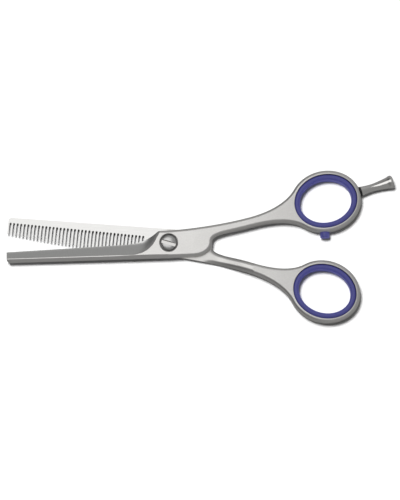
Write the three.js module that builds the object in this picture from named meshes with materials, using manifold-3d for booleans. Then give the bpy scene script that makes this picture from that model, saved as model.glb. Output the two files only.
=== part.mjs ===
// Thinning shears, nominal 5 inch, lying flat with the screw head up: blade tips towards -X,
// finger and thumb rings towards +X. Millimetres. The pivot axis is +Z through the origin, and
// the origin is on the surface that the shears lie on.
//
// The two halves share one forging shape. Each is drawn in a "half frame": z = 0 is the plane
// in which the blades ride on each other, the blade points to -X, the handle to +X and +Y, and
// the outer face is up. The cutting half is used as drawn; the thinning half is turned half a
// turn about the X axis.
import * as THREE from "three";
import { mergeVertices } from "three/addons/utils/BufferGeometryUtils.js";
import Module from "manifold-3d";

const wasm = await Module();
wasm.setup();
const rad = THREE.MathUtils.degToRad;

// --- How the halves stand at rest, degrees from the line on which they close ---------------
const cuttingHalfTurn = 3.35;
const thinningHalfTurn = 5.75;
const handleSplay = 11.75; // each handle from the closed centre line

// --- Thicknesses ---------------------------------------------------------------------------
const halfThickness = 2.35; // one half at the pivot
const rideGap = 0.1; // between the inner faces of the two halves
const innerFace = rideGap / 2;
const outerFace = innerFace + halfThickness; // the rings reach this far both ways
const edgeRound = 0.7; // rounding of the forging's outer edges

// --- Pivot boss and heel -------------------------------------------------------------------
const bossOut = 4.6; // pivot axis to the handle-side edge
const bossIn = 5.4; // pivot axis to the spine-side edge
const heelReach = 15.6; // pivot axis to the foremost point of the heel
const heelLength = 6.6; // quarter round of the heel, along and
const heelDrop = 0.5; // how far its end lies on the spine side of the centre line
const heelLift = 2.7; // from there to where the shank's inner edge heads for
const reliefStart = 18; // the other half's layer is clear up to here
const reliefEnd = 29; // and the shank has its full thickness from here

// --- Shank ---------------------------------------------------------------------------------
const neckReach = 30.3; // pivot axis to the slimmest place of the shank
const neckOut = 1.5; // handle line to the outer edge there
const neckIn = 2.15; // handle line to the inner edge there
const shankPull = 9; // how long the shank's edges keep their direction at the neck
const ringJoin = 140; // degrees round the ring from its far end, where the shank's edges land
const ringPull = 4.5; // how long the shank's edges follow the ring there

// --- Rings and their inserts ---------------------------------------------------------------
const ringReach = 58.4; // pivot axis to each ring's centre
const insertHalfLength = 11.35; // outer half axes of the insert
const insertHalfWidth = 9.65;
const insertWall = 1.95; // width of the plastic rim
const insertInset = 0.15; // the insert is this much lower than the ring's two faces
const insertRound = 0.6; // rounding of the insert's edges
const ringWall = 1.4; // steel outside the insert
const pressGap = 0.1; // between a pressed-in piece and its seat

// --- Blades --------------------------------------------------------------------------------
const bladeReach = 58.2; // pivot axis to the tips
const edgeThickness = 0.15; // at the cutting edge
const edgeAtTip = 0.2; // cutting edge above the centre line at the tip
const edgeAtHeel = 0.42; // and where the ricasso begins
const ricassoStart = 3.4; // pivot axis to the corner where the boss's edge falls to the ricasso
const ricassoEnd = 15; // pivot axis to where the ricasso meets the cutting edge
const ricassoFall = [6, 2.5]; // behind and above the pivot axis: its curve is drawn to here,
const ricassoRun = [9, 0.9]; // and then to here
const spineAtTip = 3.8; // spine below the centre line at the tip
const tipRound = 1.1;
const ridgeAtHeel = 3.4; // ridge of the outer face below the centre line at the heel
const ridgeAtTip = 2.65;
const grindStart = 13; // pivot axis to where the ridge begins
const grindEnd = 2.9; // pivot axis to where the grind's end meets the boss's edge
const runoutFoot = [8, -3.2]; // the curve on which the grind ends is drawn to here from the ridge,
const runoutRise = [6, -1.2]; // and then to here
const stepRun = 4; // how far the grind's end slopes along the blade
const spineBevel = 1.1; // how far the lower bevel falls from ridge to spine

// --- Teeth ---------------------------------------------------------------------------------
const toothCount = 39; // with the heel beyond the last gap
const toothWidth = 0.55;
const gapWidth = 0.745;
const rootLine = 1.95; // ends of the gaps below the centre line
const teethAtTip = 2.2; // tooth tips above the centre line at the blade's tip
const teethAtHeel = 4.45; // and from here to the heel:
const fullTeeth = 19.4; // pivot axis to where the tooth tips begin to fall

// --- Pivot screw and its washer ------------------------------------------------------------
const recessRadius = 3.2; // sinking in the cutting half
const recessDepth = 1.35;
const headRadius = 2.6;
const headProud = 0.3; // top of the dome above the outer face
const domeHeight = 0.55;
const slotWidth = 1.6;
const slotDepth = 0.75;
const slotAngle = -15.5; // degrees from +X
const screwRadius = 2; // body of the screw
const runningGap = 0.06; // around the screw, per side
const washerRadius = 2.55;
const washerThickness = 0.4;
const washerGap = 0.05; // above and below the washer

// --- Bumper --------------------------------------------------------------------------------
const bumperAt = -105; // degrees round the finger ring from its far end
const bumperRadius = 1.7;
const bumperHeight = 2.15; // out of its seat
const bumperStem = 0.8; // radius

// --- Finger rest and its washer ------------------------------------------------------------
const restAt = 2.2; // degrees round the finger ring from its far end
const restLength = 12.1; // without the washer
const restBase = 1.7; // radii along it
const restWaist = 1.4;
const restEnd = 2.4;
const restWaistAt = 4; // from its base
const restRim = 0.8; // rounding of its end
const studRadius = 1;
const restWasherRadius = 1.75;
const restWasherThickness = 0.75;
const seatDepth = 0.3; // flats cut in the ring for the washer and the bumper
const seatGap = 0.05; // between a seat and what is on it

const ringHalfLength = insertHalfLength + pressGap + ringWall;
const ringHalfWidth = insertHalfWidth + pressGap + ringWall;
const roundSteps = 40; // sides of a full circle
const smallSteps = 24; // and of a small one
const clear = 40; // how far cutting tools reach past the steel

// --- Solids --------------------------------------------------------------------------------

// A closed geometry as a manifold-3d solid.
function solid(geometry) {
  const loose = geometry.index ? geometry.toNonIndexed() : geometry;
  const bare = new THREE.BufferGeometry();
  bare.setAttribute("position", loose.getAttribute("position"));
  const merged = mergeVertices(bare, 1e-4);
  const mesh = new wasm.Mesh({
    numProp: 3,
    vertProperties: merged.attributes.position.array,
    triVerts: new Uint32Array(merged.index.array),
  });
  return new wasm.Manifold(mesh);
}

// A manifold-3d solid as a named three.js mesh.
function piece(name, body, { colour, roughness, metalness }) {
  const mesh = body.getMesh();
  const corners = new Float32Array(mesh.triVerts.length * 3);
  mesh.triVerts.forEach((vertex, i) => {
    const from = vertex * mesh.numProp;
    corners.set(mesh.vertProperties.subarray(from, from + 3), i * 3);
  });
  const geometry = new THREE.BufferGeometry();
  geometry.setAttribute("position", new THREE.BufferAttribute(corners, 3));
  geometry.computeVertexNormals();
  const material = new THREE.MeshStandardMaterial({ color: colour, roughness, metalness });
  const made = new THREE.Mesh(geometry, material);
  made.name = name;
  return made;
}

// A flat shape between two heights, with its edges rounded where round is given.
function plate(shape, low, high, round = 0, steps = 10) {
  const geometry = new THREE.ExtrudeGeometry(shape, {
    depth: high - low - 2 * round,
    curveSegments: steps,
    bevelEnabled: round > 0,
    bevelThickness: round,
    bevelSize: round,
    bevelOffset: -round,
    bevelSegments: 2,
  });
  return solid(geometry.translate(0, 0, low + round));
}

// A profile of [radius, height] pairs turned about the Z axis.
function turned(profile, sides = roundSteps) {
  const points = profile.map(([radius, height]) => new THREE.Vector2(radius, height));
  return solid(new THREE.LatheGeometry(points, sides).rotateX(Math.PI / 2));
}

function cylinder(radius, low, high) {
  return turned([
    [0, low],
    [radius, low],
    [radius, high],
    [0, high],
  ]);
}

// Everything above the plane through three points.
function above(p, q, r) {
  const plane = new THREE.Plane().setFromCoplanarPoints(p, q, r);
  if (plane.normal.z < 0) plane.negate();
  const side = 4 * (bladeReach + clear);
  const box = new THREE.BoxGeometry(side, side, clear).translate(0, 0, clear / 2);
  const up = new THREE.Vector3(0, 0, 1);
  box.applyQuaternion(new THREE.Quaternion().setFromUnitVectors(up, plane.normal));
  return solid(box.translate(p.x, p.y, p.z));
}

// A solid drawn along +Z, laid so that +Z points at an angle in the plane of the shears.
function aimed(body, at, degrees) {
  return body.rotate([0, 90, 0]).rotate([0, 0, degrees]).translate([at.x, at.y, 0]);
}

// --- The shape that both halves share ------------------------------------------------------

// A point on the handle: along it from the pivot axis, and out from its line.
function onHandle(along, out) {
  return new THREE.Vector2(along, out).rotateAround(new THREE.Vector2(), rad(handleSplay));
}

const ringCentre = onHandle(ringReach, 0);

// The ring's outer ellipse: a point on it, the way along it, and the way out of it.
function onRing(degrees) {
  const [c, s] = [Math.cos(rad(degrees)), Math.sin(rad(degrees))];
  const out = Math.atan2(s / ringHalfWidth, c / ringHalfLength);
  return {
    along: ringReach + ringHalfLength * c,
    out: ringHalfWidth * s,
    forward: new THREE.Vector2(-ringHalfLength * s, ringHalfWidth * c).normalize(),
    point: onHandle(ringReach + ringHalfLength * c, ringHalfWidth * s),
    outward: THREE.MathUtils.radToDeg(out) + handleSplay,
  };
}

function ellipse(halfLength, halfWidth) {
  const shape = new THREE.Shape();
  shape.absellipse(
    ringCentre.x, ringCentre.y, halfLength, halfWidth, 0, 2 * Math.PI, false, rad(handleSplay),
  );
  return shape;
}

function curveTo(shape, first, second, end) {
  shape.bezierCurveTo(first.x, first.y, second.x, second.y, end.x, end.y);
}

// Spine, heel, shank and ring, from the tip round to the boss's handle-side edge.
function drawBackAndHandle(shape) {
  shape.lineTo(-bladeReach, -spineAtTip + tipRound);
  shape.quadraticCurveTo(-bladeReach, -spineAtTip, -bladeReach + tipRound, -spineAtTip);
  shape.lineTo(0, -bossIn);
  shape.absellipse(
    heelReach - heelLength, -heelDrop, heelLength, bossIn - heelDrop, -Math.PI / 2, 0, false, 0,
  );
  const heel = new THREE.Vector2(heelReach, heelLift - heelDrop);
  curveTo(shape, heel, onHandle(neckReach - shankPull, -neckIn), onHandle(neckReach, -neckIn));
  const landing = onRing(-ringJoin);
  const nearLanding = onHandle(
    landing.along - ringPull * landing.forward.x, landing.out - ringPull * landing.forward.y,
  );
  curveTo(shape, onHandle(neckReach + shankPull, -neckIn), nearLanding, landing.point);
  shape.absellipse(
    ringCentre.x, ringCentre.y, ringHalfLength, ringHalfWidth,
    rad(-ringJoin), rad(ringJoin), false, rad(handleSplay),
  );
  const leaving = onRing(ringJoin);
  const nearLeaving = onHandle(
    leaving.along + ringPull * leaving.forward.x, leaving.out + ringPull * leaving.forward.y,
  );
  curveTo(shape, nearLeaving, onHandle(neckReach + shankPull, neckOut), onHandle(neckReach, neckOut));
  const boss = new THREE.Vector2(0, bossOut);
  const besideBoss = new THREE.Vector2(shankPull, bossOut);
  curveTo(shape, onHandle(neckReach - shankPull, neckOut), besideBoss, boss);
}

function cuttingOutline() {
  const shape = new THREE.Shape();
  shape.moveTo(-bladeReach, edgeAtTip);
  drawBackAndHandle(shape);
  shape.lineTo(-ricassoStart, bossOut);
  const fall = new THREE.Vector2(-ricassoFall[0], ricassoFall[1]);
  const run = new THREE.Vector2(-ricassoRun[0], ricassoRun[1]);
  curveTo(shape, fall, run, new THREE.Vector2(-ricassoEnd, edgeAtHeel));
  shape.closePath();
  return shape;
}

function thinningOutline() {
  const shape = new THREE.Shape();
  shape.moveTo(-bladeReach, teethAtTip);
  drawBackAndHandle(shape);
  shape.lineTo(-fullTeeth, teethAtHeel);
  shape.quadraticCurveTo(-2 * fullTeeth, teethAtHeel, -bladeReach, teethAtTip);
  shape.closePath();
  return shape;
}

// What the other half's layer needs: all that is below the inner face, up to a ramp in the shank.
function otherLayer() {
  const low = -outerFace - clear;
  const slope = (outerFace + innerFace) / (reliefEnd - reliefStart);
  const shape = new THREE.Shape();
  shape.moveTo(-bladeReach - clear, low);
  shape.lineTo(reliefEnd + clear / slope, low);
  shape.lineTo(reliefStart, innerFace);
  shape.lineTo(-bladeReach - clear, innerFace);
  shape.closePath();
  const geometry = new THREE.ExtrudeGeometry(shape, { depth: 2 * clear, bevelEnabled: false });
  return solid(geometry.translate(0, 0, -clear).rotateX(Math.PI / 2));
}

// The grind of a blade's outer face: it falls from the ridge to an edge that is given by its
// heights above the centre line at heel and tip, and ends at the boss in a curved step.
function grind(heelEdge, tipEdge) {
  const edge = innerFace + edgeThickness;
  const heel = new THREE.Vector3(-grindStart, heelEdge, edge);
  const tip = new THREE.Vector3(-bladeReach, tipEdge, edge);
  const ridge = new THREE.Vector3(-grindStart, -ridgeAtHeel, outerFace);
  const face = new THREE.Plane().setFromCoplanarPoints(heel, tip, ridge);
  const tipRidgeHeight = -(face.constant - face.normal.x * bladeReach - face.normal.y * ridgeAtTip);
  const tipRidge = new THREE.Vector3(-bladeReach, -ridgeAtTip, tipRidgeHeight / face.normal.z);
  const spine = new THREE.Vector3(-grindStart, -bossIn, outerFace - spineBevel);

  const zone = new THREE.Shape();
  zone.moveTo(-grindEnd, clear);
  zone.lineTo(-bladeReach - clear, clear);
  zone.lineTo(-bladeReach - clear, -clear);
  zone.lineTo(-grindStart, -clear);
  zone.lineTo(-grindStart, -ridgeAtHeel);
  const foot = new THREE.Vector2(-runoutFoot[0], runoutFoot[1]);
  const rise = new THREE.Vector2(-runoutRise[0], runoutRise[1]);
  curveTo(zone, foot, rise, new THREE.Vector2(-grindEnd, bossOut));
  zone.closePath();
  const side = plate(zone, -clear, clear);

  const stepFoot = new THREE.Vector3(-grindStart + stepRun, heelEdge, edge);
  const stepTop = new THREE.Vector3(-grindEnd, bossOut, outerFace);
  const stepRidge = new THREE.Vector3(-grindStart + stepRun, -ridgeAtHeel, outerFace);
  const step = above(stepFoot, stepRidge, stepTop);
  const main = above(heel, tip, ridge).intersect(step);
  return main.add(above(ridge, tipRidge, spine)).intersect(side);
}

// A seat for a piece that stands on the ring's outer edge, with the hole for its stem.
function ringSeat(degrees, seatRadius, stemRadius) {
  const place = onRing(degrees);
  const seat = cylinder(seatRadius, -seatDepth, clear);
  const hole = cylinder(stemRadius, -ringWall - insertWall / 2, clear);
  return aimed(seat.add(hole), place.point, place.outward);
}

function forging(outline) {
  const blank = plate(outline, -outerFace, outerFace, edgeRound);
  const bore = ellipse(insertHalfLength + pressGap, insertHalfWidth + pressGap);
  return blank.subtract(otherLayer()).subtract(plate(bore, -clear, clear, 0, roundSteps));
}

// --- The pieces ----------------------------------------------------------------------------
const steel = { colour: 0xc9c9c6, roughness: 0.32, metalness: 1 };
const screwSteel = { colour: 0xb9babb, roughness: 0.25, metalness: 1 };
const bluePlastic = { colour: 0x54549a, roughness: 0.4, metalness: 0 };
const blackPlastic = { colour: 0x17181b, roughness: 0.5, metalness: 0 };
const whiteNylon = { colour: 0xd9d9d0, roughness: 0.6, metalness: 0 };

function cuttingBladeHalf() {
  const recess = cylinder(recessRadius, outerFace - recessDepth, clear);
  const hole = cylinder(screwRadius + runningGap, -clear, clear);
  const restSeat = ringSeat(restAt, restWasherRadius + seatGap, studRadius + runningGap);
  const bumperSeat = ringSeat(bumperAt, bumperRadius + seatGap, bumperStem + pressGap);
  const body = forging(cuttingOutline())
    .subtract(grind(edgeAtHeel, edgeAtTip))
    .subtract(recess.add(hole))
    .subtract(restSeat.add(bumperSeat));
  return piece("cutting_blade_half", body, steel);
}

function toothGap(index) {
  const middle = -bladeReach + toothWidth + gapWidth / 2 + index * (toothWidth + gapWidth);
  const shape = new THREE.Shape();
  shape.moveTo(middle + gapWidth / 2, clear);
  shape.lineTo(middle - gapWidth / 2, clear);
  shape.absarc(middle, -rootLine + gapWidth / 2, gapWidth / 2, Math.PI, 2 * Math.PI, false);
  shape.closePath();
  return plate(shape, -clear, clear, 0, 6);
}

function thinningBladeHalf() {
  const gaps = Array.from({ length: toothCount - 1 }, (_, index) => toothGap(index));
  const thread = cylinder(screwRadius + runningGap, -clear, clear);
  const body = forging(thinningOutline())
    .subtract(grind(teethAtHeel, teethAtTip))
    .subtract(wasm.Manifold.union(gaps))
    .subtract(thread);
  return piece("thinning_blade_half", body, steel);
}

function ringInsert(name) {
  const rim = ellipse(insertHalfLength, insertHalfWidth);
  rim.holes.push(ellipse(insertHalfLength - insertWall, insertHalfWidth - insertWall));
  const high = outerFace - insertInset;
  return piece(name, plate(rim, -high, high, insertRound, roundSteps), bluePlastic);
}

// The screw stands on the origin: its flat end is flush with the thinning half's outer face.
function pivotScrew() {
  const top = 2 * outerFace + headProud;
  const headFoot = 2 * outerFace - recessDepth + washerThickness + 2 * washerGap;
  const shoulder = top - domeHeight;
  const dome = new THREE.QuadraticBezierCurve(
    new THREE.Vector2(headRadius, shoulder),
    new THREE.Vector2(headRadius * 0.75, top),
    new THREE.Vector2(0, top),
  );
  const profile = [
    [0, 0],
    [screwRadius, 0],
    [screwRadius, headFoot],
    [headRadius, headFoot],
  ];
  dome.getPoints(5).forEach((point) => profile.push([point.x, point.y]));
  const slot = new THREE.BoxGeometry(4 * headRadius, slotWidth, 2 * slotDepth);
  slot.rotateZ(rad(slotAngle)).translate(0, 0, top);
  return piece("pivot_screw", turned(profile).subtract(solid(slot)), screwSteel);
}

function pivotWasher() {
  const low = outerFace - recessDepth + washerGap;
  const ring = cylinder(washerRadius, low, low + washerThickness);
  const bore = cylinder(screwRadius + runningGap, -clear, clear);
  return piece("pivot_washer", ring.subtract(bore), whiteNylon);
}

function bumper() {
  const foot = -seatDepth + seatGap;
  const top = foot + bumperHeight;
  const stemEnd = -ringWall + pressGap;
  const crown = new THREE.QuadraticBezierCurve(
    new THREE.Vector2(bumperRadius, top - bumperRadius * 0.6),
    new THREE.Vector2(bumperRadius, top),
    new THREE.Vector2(0, top),
  );
  const profile = [
    [0, stemEnd],
    [bumperStem, stemEnd],
    [bumperStem, foot],
    [bumperRadius, foot],
  ];
  crown.getPoints(5).forEach((point) => profile.push([point.x, point.y]));
  const place = onRing(bumperAt);
  const body = aimed(turned(profile, smallSteps), place.point, place.outward);
  return piece("bumper", body, bluePlastic);
}

function fingerRestWasher() {
  const low = -seatDepth + seatGap;
  const ring = cylinder(restWasherRadius, low, low + restWasherThickness);
  const washer = ring.subtract(cylinder(studRadius + runningGap, -clear, clear));
  const place = onRing(restAt);
  return piece("finger_rest_washer", aimed(washer, place.point, place.outward), blackPlastic);
}

function fingerRest() {
  const foot = -seatDepth + 2 * seatGap + restWasherThickness;
  const top = foot + restLength;
  const flare = new THREE.SplineCurve([
    new THREE.Vector2(restBase, foot),
    new THREE.Vector2(restWaist, foot + restWaistAt),
    new THREE.Vector2((restWaist + restEnd) / 2, foot + (restWaistAt + restLength) / 2),
    new THREE.Vector2(restEnd, top - restRim),
  ]);
  const rim = new THREE.QuadraticBezierCurve(
    new THREE.Vector2(restEnd, top - restRim),
    new THREE.Vector2(restEnd, top),
    new THREE.Vector2(restEnd - restRim, top),
  );
  const stemEnd = -ringWall + pressGap;
  const profile = [
    [0, stemEnd],
    [studRadius, stemEnd],
    [studRadius, foot],
  ];
  flare.getPoints(9).forEach((point) => profile.push([point.x, point.y]));
  rim.getPoints(4).slice(1).forEach((point) => profile.push([point.x, point.y]));
  profile.push([0, top]);
  const place = onRing(restAt);
  const body = aimed(turned(profile, smallSteps), place.point, place.outward);
  return piece("finger_rest", body, steel);
}

// --- Assembly ------------------------------------------------------------------------------
const shears = new THREE.Group();

const cuttingHalf = new THREE.Group();
cuttingHalf.position.z = outerFace;
cuttingHalf.rotation.z = rad(cuttingHalfTurn);
cuttingHalf.add(cuttingBladeHalf(), ringInsert("finger_ring_insert"), bumper());
cuttingHalf.add(pivotWasher(), fingerRestWasher(), fingerRest());

const thinningHalf = new THREE.Group();
thinningHalf.position.z = outerFace;
thinningHalf.rotation.set(Math.PI, 0, rad(thinningHalfTurn));
thinningHalf.add(thinningBladeHalf(), ringInsert("thumb_ring_insert"));

shears.add(cuttingHalf, thinningHalf, pivotScrew());

export default shears;
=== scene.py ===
# Thinning shears, 5 inch, lying flat with the screw head up. Lengths are in millimetres until
# a piece is put in its place, angles in degrees.
from math import atan2, cos, degrees, pi, radians, sin, tan

import bmesh
import bpy
from mathutils import Matrix, Vector
from mathutils.geometry import interpolate_bezier


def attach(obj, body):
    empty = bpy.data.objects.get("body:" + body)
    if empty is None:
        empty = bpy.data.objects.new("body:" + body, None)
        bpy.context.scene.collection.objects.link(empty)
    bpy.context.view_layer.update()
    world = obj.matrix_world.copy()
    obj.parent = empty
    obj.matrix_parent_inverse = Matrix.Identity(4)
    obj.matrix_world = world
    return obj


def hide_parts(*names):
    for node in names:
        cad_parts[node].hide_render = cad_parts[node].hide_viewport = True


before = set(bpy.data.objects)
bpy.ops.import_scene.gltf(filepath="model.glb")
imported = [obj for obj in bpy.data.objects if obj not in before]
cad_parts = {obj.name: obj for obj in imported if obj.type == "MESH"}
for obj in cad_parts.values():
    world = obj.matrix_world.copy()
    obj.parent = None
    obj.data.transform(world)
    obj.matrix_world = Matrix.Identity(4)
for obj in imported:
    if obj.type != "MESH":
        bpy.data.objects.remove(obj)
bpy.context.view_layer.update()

# --- The forging that both halves share ---------------------------------------------------
# Each half of the shears is one drop forging of stainless steel: blade, pivot boss, shank and
# ring. The outline is punched, its edges are rolled over on a belt, and the whole half is
# blasted satin. It is drawn with the blade to -X, the outer face up and the ride plane at 0.
cutting_turn = 3.35
thinning_turn = 5.75
splay = 11.75  # of the handle from the closed centre line
inner_face = 0.05
outer_face = 2.4
edge_roll = 1.2
boss_out = 4.6
boss_in = 5.4
heel_reach = 15.6
heel_length = 6.6
heel_drop = 0.5
heel_lift = 2.7
relief_start = 17.5
relief_end = 31
slope_roll = 1.4
slope_roll_depth = 1.0
slope_roll_start = 13.5
neck_reach = 30.3
neck_out = 1.5
neck_in = 2.15
shank_pull = 9
ring_join = 140
ring_pull = 4.5
ring_reach = 58.4
ring_long = 12.85
ring_wide = 11.15
ring_wall = 1.4
blade_reach = 58.2
spine_at_tip = 3.8
tip_round = 1.3
beyond = 20  # how far a cutter reaches past the steel
through = 9  # half the length of one that goes right through

cutting_place = (
    Matrix.Scale(0.001, 4)
    @ Matrix.Translation((0, 0, outer_face))
    @ Matrix.Rotation(radians(cutting_turn), 4, "Z")
)
thinning_place = (
    Matrix.Scale(0.001, 4)
    @ Matrix.Translation((0, 0, outer_face))
    @ Matrix.Rotation(pi, 4, "X")
    @ Matrix.Rotation(radians(thinning_turn), 4, "Z")
)


def on_handle(along, out):
    return Vector((along, out)) @ Matrix.Rotation(-radians(splay), 2)


def line(start, end):
    return [(start, start, end, end)]


def bow(start, pull, end):
    return [(start, start.lerp(pull, 2 / 3), end.lerp(pull, 2 / 3), end)]


def arc(middle, long, wide, first, last, turn=0):
    """Cubic pieces of an ellipse between two angles."""
    count = max(1, round(abs(last - first) / 45))
    step = radians(last - first) / count
    reach = 4 / 3 * tan(step / 4)
    spin = Matrix.Rotation(-radians(turn), 2)
    parts = []
    for i in range(count):
        a = radians(first) + i * step
        b = a + step
        knots = (
            (cos(a), sin(a)),
            (cos(a) - reach * sin(a), sin(a) + reach * cos(a)),
            (cos(b) + reach * sin(b), sin(b) - reach * cos(b)),
            (cos(b), sin(b)),
        )
        parts.append(tuple(middle + Vector((long * x, wide * y)) @ spin for x, y in knots))
    return parts


def new_mesh(bm, name, material=None):
    bmesh.ops.remove_doubles(bm, verts=bm.verts, dist=1e-4)
    bmesh.ops.recalc_face_normals(bm, faces=bm.faces)
    mesh = bpy.data.meshes.new(name)
    bm.to_mesh(mesh)
    bm.free()
    if material:
        mesh.materials.append(material)
    return mesh


def taken(thing, name):
    """The mesh that an object shows, as a mesh of its own; the object goes."""
    bpy.context.scene.collection.objects.link(thing)
    seen = thing.evaluated_get(bpy.context.evaluated_depsgraph_get())
    mesh = bpy.data.meshes.new_from_object(seen)
    mesh.name = name
    bpy.data.objects.remove(thing)
    return mesh


def plate(name, loops, low, high, material, roll=0, steps=14):
    """A flat plate inside a closed loop of cubic pieces, or several, or a ring between two that
    are to be rolled over at their edges."""
    bm = bmesh.new()
    outlines = []
    for loop in loops:
        corners = []
        for piece in loop:
            straight = piece[0] == piece[1]
            points = interpolate_bezier(*(p.to_3d() for p in piece), 2 if straight else steps)
            corners += [bm.verts.new(p) for p in points[:-1]]
        outlines.append(corners)
    if roll and len(loops) == 2:
        edges = [bm.edges.new(pair) for c in outlines for pair in zip(c, c[1:] + c[:1])]
        bmesh.ops.bridge_loops(bm, edges=edges)
    else:
        for corners in outlines:
            bm.faces.new(corners)
    raised = bmesh.ops.extrude_face_region(bm, geom=bm.faces[:])["geom"]
    raised = [v for v in raised if isinstance(v, bmesh.types.BMVert)]
    bmesh.ops.translate(bm, verts=bm.verts, vec=(0, 0, low))
    bmesh.ops.translate(bm, verts=raised, vec=(0, 0, high - low))
    bmesh.ops.recalc_face_normals(bm, faces=bm.faces)
    if roll:
        rims = []
        for edge in bm.edges:
            one, other = (abs(face.normal.z) for face in edge.link_faces)
            if one + other > 0.9 and one * other < 0.1:  # between a flat face and a side wall
                rims.append(edge)
        bmesh.ops.bevel(
            bm, geom=rims, offset=roll, offset_type="OFFSET", segments=6, profile=0.5,
            affect="EDGES", material=-1, clamp_overlap=False,
        )
    return new_mesh(bm, name, material)


def cut(mesh, *tools):
    """The mesh with the tools' solids taken away; a cut face keeps its tool's material."""
    blank = bpy.data.objects.new(mesh.name, mesh)
    held = []
    for tool in tools:
        held.append(bpy.data.objects.new(tool.name, tool))
        bpy.context.scene.collection.objects.link(held[-1])
        cutting = blank.modifiers.new("cut", "BOOLEAN")
        cutting.operation = "DIFFERENCE"
        cutting.solver = "EXACT"
        cutting.material_mode = "TRANSFER"
        cutting.object = held[-1]
    made = taken(blank, mesh.name)
    for tool in held:
        bpy.data.objects.remove(tool)
    return made


def finished(mesh, name, place, crisp=24, broken=0):
    """The mesh put in its place as an object, smooth but for its crisp edges."""
    mesh.transform(place)
    mesh.shade_smooth()
    mesh.set_sharp_from_angle(angle=radians(crisp))
    piece = bpy.data.objects.new(name, mesh)
    bpy.context.scene.collection.objects.link(piece)
    if broken:
        breaking = piece.modifiers.new("broken edges", "BEVEL")
        breaking.width = broken
        breaking.segments = 2
        breaking.limit_method = "ANGLE"
        breaking.angle_limit = radians(crisp)
        breaking.harden_normals = True
    evening = piece.modifiers.new("even normals", "WEIGHTED_NORMAL")
    evening.keep_sharp = True
    return piece


def rod(name, radius, low, high, material, middle=(0, 0), sides=64):
    bm = bmesh.new()
    bmesh.ops.create_cone(
        bm, cap_ends=True, segments=sides, radius1=radius, radius2=radius, depth=high - low,
        matrix=Matrix.Translation((*middle, (high + low) / 2)),
    )
    return new_mesh(bm, name, material)


def on_ring(angle):
    """A point on the ring's outer edge, the way along it, and the way out of it."""
    c, s = cos(radians(angle)), sin(radians(angle))
    along, out = ring_reach + ring_long * c, ring_wide * s
    forward = Vector((-ring_long * s, ring_wide * c)).normalized()
    outward = degrees(atan2(s / ring_wide, c / ring_long)) + splay
    return along, out, forward, outward


def back_and_handle(start):
    """Spine, heel, shank and ring, from the tip round to the boss's handle side."""
    corner = Vector((-blade_reach, -spine_at_tip))
    above = corner + Vector((0, tip_round))
    beside = corner + Vector((tip_round, 0))
    low_boss = Vector((0, -boss_in))
    heel_foot = Vector((heel_reach - heel_length, -boss_in))
    heel = Vector((heel_reach, -heel_drop))
    neck_low, neck_high = on_handle(neck_reach, -neck_in), on_handle(neck_reach, neck_out)
    along, out, forward, _ = on_ring(-ring_join)
    landing = on_handle(along, out)
    near_landing = on_handle(along - ring_pull * forward.x, out - ring_pull * forward.y)
    along, out, forward, _ = on_ring(ring_join)
    leaving = on_handle(along, out)
    near_leaving = on_handle(along + ring_pull * forward.x, out + ring_pull * forward.y)
    high_boss = Vector((0, boss_out))
    return (
        line(start, above)
        + arc(corner + Vector((tip_round, tip_round)), tip_round, tip_round, 180, 270)
        + line(beside, low_boss)
        + line(low_boss, heel_foot)
        + arc(Vector((heel_foot.x, -heel_drop)), heel_length, boss_in - heel_drop, -90, 0)
        + [(heel, Vector((heel_reach, heel_lift - heel_drop)),
            on_handle(neck_reach - shank_pull, -neck_in), neck_low)]
        + [(neck_low, on_handle(neck_reach + shank_pull, -neck_in), near_landing, landing)]
        + arc(on_handle(ring_reach, 0), ring_long, ring_wide, -ring_join, ring_join, splay)
        + [(leaving, near_leaving, on_handle(neck_reach + shank_pull, neck_out), neck_high)]
        + [(neck_high, on_handle(neck_reach - shank_pull, neck_out),
            Vector((shank_pull, boss_out)), high_boss)]
    )


def ring_hole(long, wide):
    return arc(on_handle(ring_reach, 0), long, wide, 0, 360, splay)


def new_material(name, colour, roughness, metallic):
    material = bpy.data.materials.new(name)
    material.use_nodes = True
    shader = material.node_tree.nodes["Principled BSDF"]
    shader.inputs["Base Color"].default_value = (*colour, 1)
    shader.inputs["Roughness"].default_value = roughness
    shader.inputs["Metallic"].default_value = metallic
    return material, material.node_tree, shader


# Blasting and belts leave a fine tooth in the steel. The group puts out the shade, the
# roughness and the normal of such a surface. Pitch is how many grains go to a metre, Drawn
# stretches them along an axis that it scales down, and Depth is how strongly they show.
surface = bpy.data.node_groups.new("worked surface", "ShaderNodeTree")
for socket, kind, value in (
    ("Pitch", "NodeSocketFloat", 3000.0), ("Drawn", "NodeSocketVector", (1, 1, 1)),
    ("Depth", "NodeSocketFloat", 0.2), ("Roughness", "NodeSocketFloat", 0.4),
    ("Spread", "NodeSocketFloat", 0.05), ("Colour", "NodeSocketColor", (1, 1, 1, 1)),
):
    surface.interface.new_socket(socket, in_out="INPUT", socket_type=kind).default_value = value
for socket, kind in (
    ("Colour", "NodeSocketColor"), ("Roughness", "NodeSocketFloat"), ("Normal", "NodeSocketVector"),
):
    surface.interface.new_socket(socket, in_out="OUTPUT", socket_type=kind)
add = surface.nodes.new
ins, outs = add("NodeGroupInput"), add("NodeGroupOutput")
where, drawn, grain = add("ShaderNodeTexCoord"), add("ShaderNodeMapping"), add("ShaderNodeTexNoise")
clouds, bump, tone = add("ShaderNodeTexNoise"), add("ShaderNodeBump"), add("ShaderNodeMapRange")
rough, shade = add("ShaderNodeMath"), add("ShaderNodeMix")
lift = add("ShaderNodeMath")
wire = surface.links.new
wire(where.outputs["Object"], drawn.inputs["Vector"])
wire(ins.outputs["Drawn"], drawn.inputs["Scale"])
wire(drawn.outputs["Vector"], grain.inputs["Vector"])
wire(ins.outputs["Pitch"], grain.inputs["Scale"])
grain.inputs["Detail"].default_value = 3
wire(where.outputs["Object"], clouds.inputs["Vector"])
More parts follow.
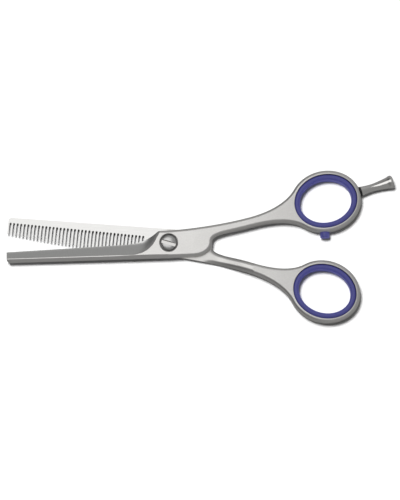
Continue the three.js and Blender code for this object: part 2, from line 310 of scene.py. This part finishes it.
clouds.inputs["Scale"].default_value = 160
clouds.inputs["Detail"].default_value = 4
bump.inputs["Distance"].default_value = 0.00001
wire(grain.outputs["Fac"], bump.inputs["Height"])
wire(ins.outputs["Depth"], bump.inputs["Strength"])
lift.operation = "SUBTRACT"
wire(clouds.outputs["Fac"], lift.inputs[0])
lift.inputs[1].default_value = 0.5
rough.operation = "MULTIPLY_ADD"
wire(lift.outputs[0], rough.inputs[0])
wire(ins.outputs["Spread"], rough.inputs[1])
wire(ins.outputs["Roughness"], rough.inputs[2])
tone.inputs["From Min"].default_value = 0.25
tone.inputs["From Max"].default_value = 0.75
tone.inputs["To Min"].default_value = 0.92
wire(grain.outputs["Fac"], tone.inputs["Value"])
shade.data_type = "RGBA"
shade.blend_type = "MULTIPLY"
shade.inputs[0].default_value = 1
wire(ins.outputs["Colour"], shade.inputs[6])
wire(tone.outputs["Result"], shade.inputs[7])
wire(shade.outputs[2], outs.inputs["Colour"])
wire(rough.outputs[0], outs.inputs["Roughness"])
wire(bump.outputs["Normal"], outs.inputs["Normal"])


def worked(name, metallic, colour, roughness, pitch, drawn, depth, spread=0.05):
    material, tree, shader = new_material(name, colour, roughness, metallic)
    work = tree.nodes.new("ShaderNodeGroup")
    work.node_tree = surface
    for socket, value in (
        ("Pitch", pitch), ("Drawn", drawn), ("Depth", depth), ("Roughness", roughness),
        ("Spread", spread), ("Colour", (*colour, 1)),
    ):
        work.inputs[socket].default_value = value
    tree.links.new(work.outputs["Colour"], shader.inputs["Base Color"])
    tree.links.new(work.outputs["Roughness"], shader.inputs["Roughness"])
    tree.links.new(work.outputs["Normal"], shader.inputs["Normal"])
    return material


def steel(name, *surface_values, **more):
    return worked(name, 1, *surface_values, **more)


satin = steel("satin steel", (0.88, 0.868, 0.845), 0.36, 3200, (0.5, 1, 1), 0.30)
ground = steel("ground steel", (0.80, 0.80, 0.785), 0.30, 5200, (1, 0.05, 0.05), 0.16)
polished = steel("polished steel", (0.80, 0.795, 0.78), 0.22, 4200, (0.05, 1, 1), 0.08)
# Bored steel is painted dark. The sinking, the screw holes and the seats get this dark colour as
# painted shade, for how little light reaches inside them.
bored_painted_shade = steel("bored steel painted shade", (0.30, 0.295, 0.29), 0.5, 3000, (1, 1, 1), 0.2)


def inside(line, point):
    """How far a point is to the left of a line of points, along which the line runs."""
    best, side = 1e9, 1
    for a, b in zip(line, line[1:]):
        way = b - a
        part = min(max((point - a).dot(way) / way.length_squared, 0), 1)
        gap = point - (a + part * way)
        if gap.length < best:
            best, side = gap.length, (1 if way.cross(gap) >= 0 else -1)
    return best * side


def other_layer():
    """What the other half's layer needs, with the slope to the shank's full thickness, whose
    edges are rolled over too. It leaves the blade lapped bright, and the rest satin."""
    shank = []
    for piece in back_and_handle(Vector((-blade_reach, 0))):
        if -1 < min(p.x for p in piece) and piece[0] != piece[1]:
            shank += [p.to_2d() for p in interpolate_bezier(*(p.to_3d() for p in piece), 8)]
    bm = bmesh.new()
    bmesh.ops.create_grid(bm, x_segments=100, y_segments=100, size=1)
    start, end = -blade_reach - 5, relief_end + 3
    for v in bm.verts:
        point = Vector((end - (end - start) * ((1 - v.co.x) / 2) ** 1.8, 3 + 10 * v.co.y))
        down = min(max((point.x - relief_start) / (relief_end - relief_start), 0), 1)
        down = down * down * (3 - 2 * down)
        z = inner_face - (outer_face + inner_face) * down - 0.5 * max(point.x - relief_end, 0)
        if point.x > slope_roll_start:
            near = max(slope_roll - max(inside(shank, point), 0), 0) / slope_roll
            z += slope_roll_depth * near * near * min((point.x - slope_roll_start) / 3, 1)
        v.co = (*point, z)
    for v in bmesh.ops.extrude_face_region(bm, geom=bm.faces)["geom"]:
        if isinstance(v, bmesh.types.BMVert):
            v.co.z = -beyond
    for face in bm.faces:
        face.material_index = int(face.calc_center_median().x > lapped_end)
    mesh = new_mesh(bm, "other layer", polished)
    mesh.materials.append(satin)
    return mesh


def main_grind(heel_edge, tip_edge):
    """The wheel's path over the outer face, down to the edge, with its run-out at the boss."""
    edge = inner_face + edge_thickness
    slope = (outer_face - edge) / (heel_edge + ridge_at_heel)
    fall = (heel_edge - tip_edge) / (blade_reach - grind_start)

    bm = bmesh.new()
    bmesh.ops.create_grid(bm, x_segments=130, y_segments=56, size=1)
    for v in bm.verts:
        point = Vector((
            1 - (blade_reach + 6) * ((1 - v.co.x) / 2) ** 1.7,
            -ridge_at_heel - 2 + 11 * (v.co.y + 1) / 2,
        ))
        down = heel_edge + (point.x + grind_start) * fall - point.y
        across = min(max(down / (heel_edge + ridge_at_heel), 0), 1)
        flat = edge + slope * down - hollow * 4 * across * (1 - across)
        gap = inside(runout, point)
        if gap < 0:
            v.co = (*point, outer_face + min(-gap, 2))
            continue
        rise = outer_face - (outer_face - edge) * (1 - (1 - min(gap / runout_width, 1)) ** 2)
        blend = runout_blend * min(max(outer_face - flat, 0.01), 1)
        meet = max(blend - abs(flat - rise), 0) / blend
        v.co = (*point, min(max(flat, rise) + meet * meet * blend / 4, outer_face + 2))
    for v in bmesh.ops.extrude_face_region(bm, geom=bm.faces)["geom"]:
        if isinstance(v, bmesh.types.BMVert):
            v.co.z = outer_face + 4
    return new_mesh(bm, "main grind", ground)


def ridge_land():
    """The narrow land that is left where the grind and the spine's bevel meet."""
    bm = bmesh.new()
    bmesh.ops.create_grid(bm, x_segments=30, y_segments=1, size=1)
    for v in bm.verts:
        x = 3 - grind_start - (blade_reach + 4 - grind_start) * (1 - v.co.x) / 2
        back = x + grind_start
        z = outer_face + ridge_climb * back - land_depth * min(-back / 6, 1)
        v.co = (x, -3 + 2 * v.co.y, z)
    for v in bmesh.ops.extrude_face_region(bm, geom=bm.faces)["geom"]:
        if isinstance(v, bmesh.types.BMVert):
            v.co.z = outer_face + 4
    return new_mesh(bm, "ridge land", satin)


def spine_bevel():
    """The second bevel, from the ridge to the spine, which fades out along the boss."""
    bm = bmesh.new()
    bmesh.ops.create_grid(bm, x_segments=40, y_segments=2, size=1)
    for v in bm.verts:
        x = 12 - (blade_reach + 15) * (1 - v.co.x) / 2
        y = -4 + 5 * v.co.y
        z = outer_face + bevel_slope * (y + ridge_at_heel) + bevel_climb * min(x + grind_start, 0)
        z += bevel_fade * max(x + grind_start, 0) ** 2
        v.co = (x, y, z)
    top = bmesh.ops.extrude_face_region(bm, geom=bm.faces)["geom"]
    for v in top:
        if isinstance(v, bmesh.types.BMVert):
            v.co.z = outer_face + 12
    return new_mesh(bm, "spine bevel", satin)


# --- Cutting half -------------------------------------------------------------------------
# The front half, with the plain blade and the finger ring. Its blade is ground from a ridge
# down to the edge, and the wheel runs out in a curve at the boss. The screw's head sits in a
# sinking with a broken rim. Bumper and finger rest stand on flats milled in the ring.
edge_thickness = 0.15
edge_at_tip = 0.2
edge_at_heel = 0.42
ricasso_start = 3.4
ricasso_end = 15
ridge_at_heel = 3.85
grind_start = 13
hollow = 0.06
runout = [Vector(p) for p in (
    (-14.6, -3.85), (-12.2, -3.72), (-9.8, -3.2), (-7.95, -2.35), (-6.84, -1.54),
    (-5.69, -0.41), (-4.91, 0.68), (-4.11, 2.09), (-3.45, 3.1), (-2.93, 3.84), (-2.2, 4.8),
    (-0.5, 7),
)]
runout_width = 4.2
runout_blend = 0.4
ridge_climb = 0.019
land_depth = 0.08
lapped_end = -1.5
bevel_slope = 0.55
bevel_climb = 0.0365
bevel_fade = 0.00136
insert_long = 11.35
insert_wide = 9.65
press_gap = 0.1
recess_radius = 3.2
recess_depth = 1.35
recess_chamfer = 0.22
screw_hole = 2.06
rest_at = 2.2
bumper_at = -105
seat_depth = 0.3
seat_gap = 0.05
stem_hole_depth = 2.375
rest_seat = 1.8
rest_stud_hole = 1.06
bumper_seat = 1.75
bumper_stem_hole = 0.9


def aimed(mesh, angle):
    """A mesh drawn along +Z, turned to stand outwards on the ring's edge."""
    along, out, _, outward = on_ring(angle)
    middle = on_handle(along, out)
    mesh.transform(
        Matrix.Translation((*middle, 0))
        @ Matrix.Rotation(radians(outward), 4, "Z")
        @ Matrix.Rotation(pi / 2, 4, "Y")
    )
    return mesh


def ricasso(corner, end):
    return [(corner, Vector((-6, 2.5)), Vector((-9, 0.9)), end)]


tip = Vector((-blade_reach, edge_at_tip))
boss_corner = Vector((-ricasso_start, boss_out))
edge_end = Vector((-ricasso_end, edge_at_heel))
cutting_outline = (
    back_and_handle(tip)
    + line(Vector((0, boss_out)), boss_corner)
    + ricasso(boss_corner, edge_end)
    + line(edge_end, tip)
)
bore_outline = ring_hole(insert_long + press_gap, insert_wide + press_gap)
rim = bmesh.new()
bmesh.ops.create_cone(
    rim, cap_ends=True, segments=96, radius1=recess_radius, radius2=recess_radius + 1,
    depth=1, matrix=Matrix.Translation((0, 0, outer_face - recess_chamfer + 0.5)),
)
cutting_half = cut(
    plate("cutting half", [cutting_outline], -outer_face, outer_face, satin, edge_roll),
    other_layer(),
    plate("bore", [bore_outline], -through, through, satin),
    main_grind(edge_at_heel, edge_at_tip),
    spine_bevel(),
    ridge_land(),
    # The sinking, the holes and the seats are cut with the bored steel, whose dark colour is
    # painted shade.
    rod("recess", recess_radius, outer_face - recess_depth, through, bored_painted_shade, sides=96),
    new_mesh(rim, "recess rim", polished),
    rod("hole", screw_hole, -through, through, bored_painted_shade),
    aimed(rod("rest seat", rest_seat, -seat_depth, through, bored_painted_shade), rest_at),
    aimed(rod("rest hole", rest_stud_hole, -stem_hole_depth, through, bored_painted_shade), rest_at),
    aimed(rod("bumper seat", bumper_seat, -seat_depth, through, bored_painted_shade), bumper_at),
    aimed(rod("bumper hole", bumper_stem_hole, -stem_hole_depth, through, bored_painted_shade), bumper_at),
)
cutting = finished(cutting_half, "cutting_half_steel", cutting_place, broken=0.00005)
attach(cutting, "cutting_half")
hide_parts("cutting_blade_half")

# --- Thinning half ------------------------------------------------------------------------
# The rear half is the same forging turned over, with the toothed blade and the thumb ring.
# Thirty-eight slots with round ends leave its teeth, and the inner face is lapped bright.
tooth_count = 39
tooth_width = 0.55
gap_width = 0.745
root_line = 1.95
teeth_at_tip = 2.2
teeth_at_heel = 4.45
full_teeth = 19.4  # from the pivot to where the tooth tips begin to fall

tooth_tip = Vector((-blade_reach, teeth_at_tip))
tooth_middle = Vector((-full_teeth, teeth_at_heel))
thinning_outline = (
    back_and_handle(tooth_tip)
    + line(Vector((0, boss_out)), tooth_middle)
    + bow(tooth_middle, Vector((-2 * full_teeth, teeth_at_heel)), tooth_tip)
)
slots = []
for i in range(tooth_count - 1):
    middle = -blade_reach + tooth_width + gap_width / 2 + i * (tooth_width + gap_width)
    half = gap_width / 2
    left = Vector((middle - half, half - root_line))
    right = Vector((middle + half, half - root_line))
    over_left, over_right = Vector((left.x, through)), Vector((right.x, through))
    slots.append(
        arc(Vector((middle, half - root_line)), half, half, 180, 360)
        + line(right, over_right) + line(over_right, over_left) + line(over_left, left)
    )
thinning_half = cut(
    plate("thinning half", [thinning_outline], -outer_face, outer_face, satin, edge_roll),
    other_layer(),
    plate("bore", [bore_outline], -through, through, satin),
    main_grind(teeth_at_heel, teeth_at_tip),
    spine_bevel(),
    ridge_land(),
    plate("slots", slots, -through, through, ground, steps=4),
    rod("thread", screw_hole, -through, through, bored_painted_shade),
)
thinning = finished(thinning_half, "thinning_half_steel", thinning_place, broken=0.00003)
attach(thinning, "thinning_half")
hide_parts("thinning_blade_half")

# --- Pivot washer -------------------------------------------------------------------------
# A thin disc of white nylon under the screw's head, which the screw presses on the boss.
washer_radius = 2.55
washer_low = outer_face - recess_depth + 0.05
washer_thick = 0.4
washer_edge = 0.08


def lathed(name, profile, material, steps=96):
    """Pairs of radius and height turned about Z."""
    bm = bmesh.new()
    corners = [bm.verts.new((radius, 0, height)) for radius, height in profile]
    edges = [bm.edges.new(pair) for pair in zip(corners, corners[1:])]
    bmesh.ops.spin(
        bm, geom=corners + edges, axis=(0, 0, 1), cent=(0, 0, 0), dvec=(0, 0, 0),
        angle=2 * pi, steps=steps, use_merge=True, use_duplicate=False,
    )
    bmesh.ops.dissolve_degenerate(bm, edges=bm.edges, dist=1e-4)
    return new_mesh(bm, name, material)


def plastic(name, colour, roughness, pitch, depth):
    return worked(name, 0, colour, roughness, pitch, (1, 1, 1), depth)


nylon = plastic("white nylon", (0.78, 0.78, 0.74), 0.5, 2500, 0.2)
washer_high = washer_low + washer_thick
washer = finished(
    lathed("pivot washer", [
        (screw_hole, washer_low), (washer_radius - washer_edge, washer_low),
        (washer_radius, washer_low + washer_edge), (washer_radius, washer_high - washer_edge),
        (washer_radius - washer_edge, washer_high),
        (screw_hole, washer_high), (screw_hole, washer_low),
    ], nylon),
    "pivot_washer_nylon", cutting_place,
)
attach(washer, "cutting_half")
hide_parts("pivot_washer")

# --- Pivot screw --------------------------------------------------------------------------
# Turned from stainless bar, with a low domed head and a broad slot that takes a coin or a
# driver. It threads into the rear half, and its end is filed flush with that half.
head_radius = 2.6
head_proud = 0.3
dome_height = 0.55
slot_width = 1.6
slot_depth = 0.75
slot_lean = 0.4  # of the wall that a tool pushes when it tightens
slot_angle = -15.5
screw_radius = 2
screw_edge = 0.15
slot_floor_round = 0.12

turned_steel = steel("turned steel", (0.70, 0.70, 0.69), 0.30, 4000, (1, 0.1, 1), 0.03, spread=0.02)
screw_top = 2 * outer_face + head_proud
head_foot = 2 * outer_face - recess_depth + washer_thick + 0.1
shoulder = screw_top - dome_height
dome = [
    (head_radius * sin(radians(a)), shoulder + dome_height * cos(radians(a)))
    for a in range(90, -1, -6)
]
screw_blank = lathed("screw", [
    (0, 0), (screw_radius - screw_edge, 0), (screw_radius, screw_edge), (screw_radius, head_foot),
    (head_radius, head_foot), *dome,
], turned_steel)
slot_tool = bmesh.new()
bmesh.ops.create_cube(slot_tool, size=1)
bmesh.ops.scale(slot_tool, verts=slot_tool.verts, vec=(20, slot_width, 2 * slot_depth))
bmesh.ops.translate(
    slot_tool, verts=[v for v in slot_tool.verts if v.co.y > 0 > v.co.z], vec=(0, -slot_lean, 0),
)
bmesh.ops.bevel(
    slot_tool, geom=[e for e in slot_tool.edges if all(v.co.z < 0 for v in e.verts)],
    offset=slot_floor_round, offset_type="OFFSET", segments=4, profile=0.5, affect="EDGES",
    material=-1,
)
turn = Matrix.Rotation(radians(slot_angle), 3, "Z")
bmesh.ops.rotate(slot_tool, verts=slot_tool.verts, matrix=turn)
bmesh.ops.translate(slot_tool, verts=slot_tool.verts, vec=(0, 0, screw_top))
screw = finished(
    cut(screw_blank, new_mesh(slot_tool, "screw slot", satin)),
    "pivot_screw_steel", Matrix.Scale(0.001, 4),
)
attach(screw, "pivot_screw")
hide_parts("pivot_screw")

# --- Ring inserts -------------------------------------------------------------------------
# Soft blue plastic liners, moulded and pressed into the two rings. They have full-round
# lips, stand a hair below the steel and make the openings smaller.
insert_wall = 1.95
insert_inset = 0.15
insert_roll = 0.9

blue = plastic("blue plastic", (0.17, 0.175, 0.64), 0.28, 2600, 0.1)
for body, place, node in (
    ("cutting_half", cutting_place, "finger_ring_insert"),
    ("thinning_half", thinning_place, "thumb_ring_insert"),
):
    liner = finished(
        plate(
            node, [
                ring_hole(insert_long, insert_wide),
                ring_hole(insert_long - insert_wall, insert_wide - insert_wall),
            ],
            insert_inset - outer_face, outer_face - insert_inset, blue, insert_roll,
        ),
        node + "_liner", place,
    )
    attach(liner, body)
    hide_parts(node)

# --- Bumper -------------------------------------------------------------------------------
# A small buffer of the same blue plastic, pressed into the finger ring where the two rings
# meet, so that the shears close without a click.
bumper_radius = 1.7
bumper_height = 2.15
bumper_stem = 0.8
bumper_round = 0.45

bumper_foot = seat_gap - seat_depth
bumper_top = bumper_foot + bumper_height
crown = [
    (bumper_radius - bumper_round * (1 - sin(radians(a))),
     bumper_top - bumper_round * (1 - cos(radians(a))))
    for a in range(90, -1, -15)
]
buffer = finished(
    aimed(lathed("bumper", [
        (0, press_gap - ring_wall), (bumper_stem, press_gap - ring_wall),
        (bumper_stem, bumper_foot), (bumper_radius, bumper_foot), *crown, (0, bumper_top),
    ], blue, 48), bumper_at),
    "bumper_buffer", cutting_place,
)
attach(buffer, "cutting_half")
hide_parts("bumper")

# --- Finger rest washer -------------------------------------------------------------------
# A black plastic washer between the ring and the finger rest, which keeps the rest from
# working loose.
rest_washer_radius = 1.75
rest_washer_thick = 0.75
spacer_edge = 0.1

black = plastic("black plastic", (0.012, 0.012, 0.014), 0.45, 2500, 0.2)
spacer_low = seat_gap - seat_depth
spacer_high = spacer_low + rest_washer_thick
spacer = finished(
    aimed(lathed("rest washer", [
        (rest_stud_hole, spacer_low), (rest_washer_radius, spacer_low),
        (rest_washer_radius, spacer_high - spacer_edge),
        (rest_washer_radius - spacer_edge, spacer_high),
        (rest_stud_hole, spacer_high), (rest_stud_hole, spacer_low),
    ], black, 48), rest_at),
    "finger_rest_spacer", cutting_place,
)
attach(spacer, "rest_washer")
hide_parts("finger_rest_washer")

# --- Finger rest --------------------------------------------------------------------------
# Turned from stainless bar and satin polished: a waisted horn with a flared, rounded end.
# Its stud is threaded into the finger ring, so that it can be taken off.
rest_length = 12.1
rest_base = 1.7
rest_waist = 1.4
rest_end = 2.4
rest_waist_at = 4
rest_rim = 0.8
rest_edge = 0.12
stud_radius = 1

rest_foot = seat_gap * 2 - seat_depth + rest_washer_thick
rest_top = rest_foot + rest_length
flare = [
    (rest_base, rest_foot + rest_edge), (1.52, rest_foot + 1.6), (1.42, rest_foot + 3),
    (rest_waist, rest_foot + rest_waist_at), (1.44, rest_foot + 5.2), (1.58, rest_foot + 6.7),
    (1.78, rest_foot + 8.2), (2.0, rest_foot + 9.6), (2.12, rest_foot + 10.3),
    (2.27, rest_foot + 10.55),
]
rest_finish = steel("bar steel", (0.86, 0.85, 0.83), 0.12, 3500, (1, 1, 1), 0.06)
rim = [
    (rest_end - rest_rim * (1 - sin(radians(a))), rest_top - rest_rim * (1 - cos(radians(a))))
    for a in range(100, -1, -10)
]
rest_mesh = lathed("finger rest", [
    (0, press_gap - ring_wall), (stud_radius, press_gap - ring_wall), (stud_radius, rest_foot),
    (rest_base - rest_edge, rest_foot), *flare, *rim, (0, rest_top),
], rest_finish, 64)
horn = finished(aimed(rest_mesh, rest_at), "finger_rest_horn", cutting_place)
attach(horn, "finger_rest")
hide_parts("finger_rest")

# --- Floor, light and camera --------------------------------------------------------------
# A plain white floor. One lamp from the upper left lights only the floor, for its shadows. The
# steel mirrors a soft box overhead and a dim room that is lighter at the back.
key_from = (-0.17, 0.19, 0.967)

floor_mesh = bmesh.new()
bmesh.ops.create_grid(floor_mesh, x_segments=1, y_segments=1, size=1.5)
floor = bpy.data.objects.new("floor", bpy.data.meshes.new("floor"))
floor_mesh.to_mesh(floor.data)
floor_mesh.free()
bpy.context.scene.collection.objects.link(floor)
floor.location.z = -0.00005
paper, tree, shader = new_material("white paper", (0.9, 0.9, 0.9), 0.9, 0)
rays, sheet = tree.nodes.new("ShaderNodeLightPath"), tree.nodes.new("ShaderNodeMix")
sheet.data_type = "RGBA"
sheet.inputs[6].default_value = (0.45, 0.45, 0.45, 1)
sheet.inputs[7].default_value = (0.09, 0.09, 0.09, 1)
tree.links.new(rays.outputs["Is Glossy Ray"], sheet.inputs[0])
tree.links.new(sheet.outputs[2], shader.inputs["Base Color"])
floor.data.materials.append(paper)



def lamp(name, direction, distance, size, energy):
    light = bpy.data.lights.new(name, "AREA")
    light.shape = "DISK"
    light.size = size
    light.energy = energy
    thing = bpy.data.objects.new(name, light)
    way = Vector(direction).normalized()
    thing.location = way * distance
    thing.rotation_euler = way.to_track_quat("Z", "Y").to_euler()
    bpy.context.scene.collection.objects.link(thing)
    return thing


floor_lamp = lamp("floor key", key_from, 1.2, 0.36, 32)
only_floor = bpy.data.collections.new("only floor")
only_floor.objects.link(floor)
floor_lamp.light_linking.receiver_collection = only_floor
box = lamp("soft box", (0, 0, 1), 0.42, 0.40, 0.40)
box.data.shape = "RECTANGLE"
box.data.size_y = 0.36
box.location.x = -0.13
box.location.y = 0.10

world = bpy.data.worlds.new("room")
bpy.context.scene.world = world
world.use_nodes = True
nodes, links = world.node_tree.nodes, world.node_tree.links
back = nodes["Background"]
coords, split = nodes.new("ShaderNodeTexCoord"), nodes.new("ShaderNodeSeparateXYZ")
front_to_back, left = nodes.new("ShaderNodeMapRange"), nodes.new("ShaderNodeMapRange")
ramp = nodes.new("ShaderNodeValToRGB")
links.new(coords.outputs["Generated"], split.inputs[0])
links.new(split.outputs["Y"], front_to_back.inputs["Value"])
front_to_back.inputs["From Min"].default_value = -1
links.new(front_to_back.outputs["Result"], ramp.inputs["Fac"])
ramp.color_ramp.elements.new(0.5)
for stop, grey in zip(ramp.color_ramp.elements, (0.26, 0.27, 0.38)):
    stop.color = (grey, grey, grey, 1)
links.new(split.outputs["X"], left.inputs["Value"])
left.inputs["From Min"].default_value = -0.7
left.inputs["From Max"].default_value = 0
left.inputs["To Min"].default_value = 0.35
links.new(ramp.outputs["Color"], back.inputs["Color"])
links.new(left.outputs["Result"], back.inputs["Strength"])

bpy.context.scene.view_settings.view_transform = "Standard"
camera = bpy.data.objects.new("camera", bpy.data.cameras.new("camera"))
bpy.context.scene.collection.objects.link(camera)
elevation, distance = radians(80), 0.8
target = Vector((0.0112, -0.0023, 0.0024))
camera.location = target + distance * Vector((0, -cos(elevation), sin(elevation)))
camera.rotation_euler = (pi / 2 - elevation, 0, 0)
camera.data.sensor_width = 36
camera.data.lens = 160.7
camera.data.clip_start = 0.01
bpy.context.scene.camera = camera
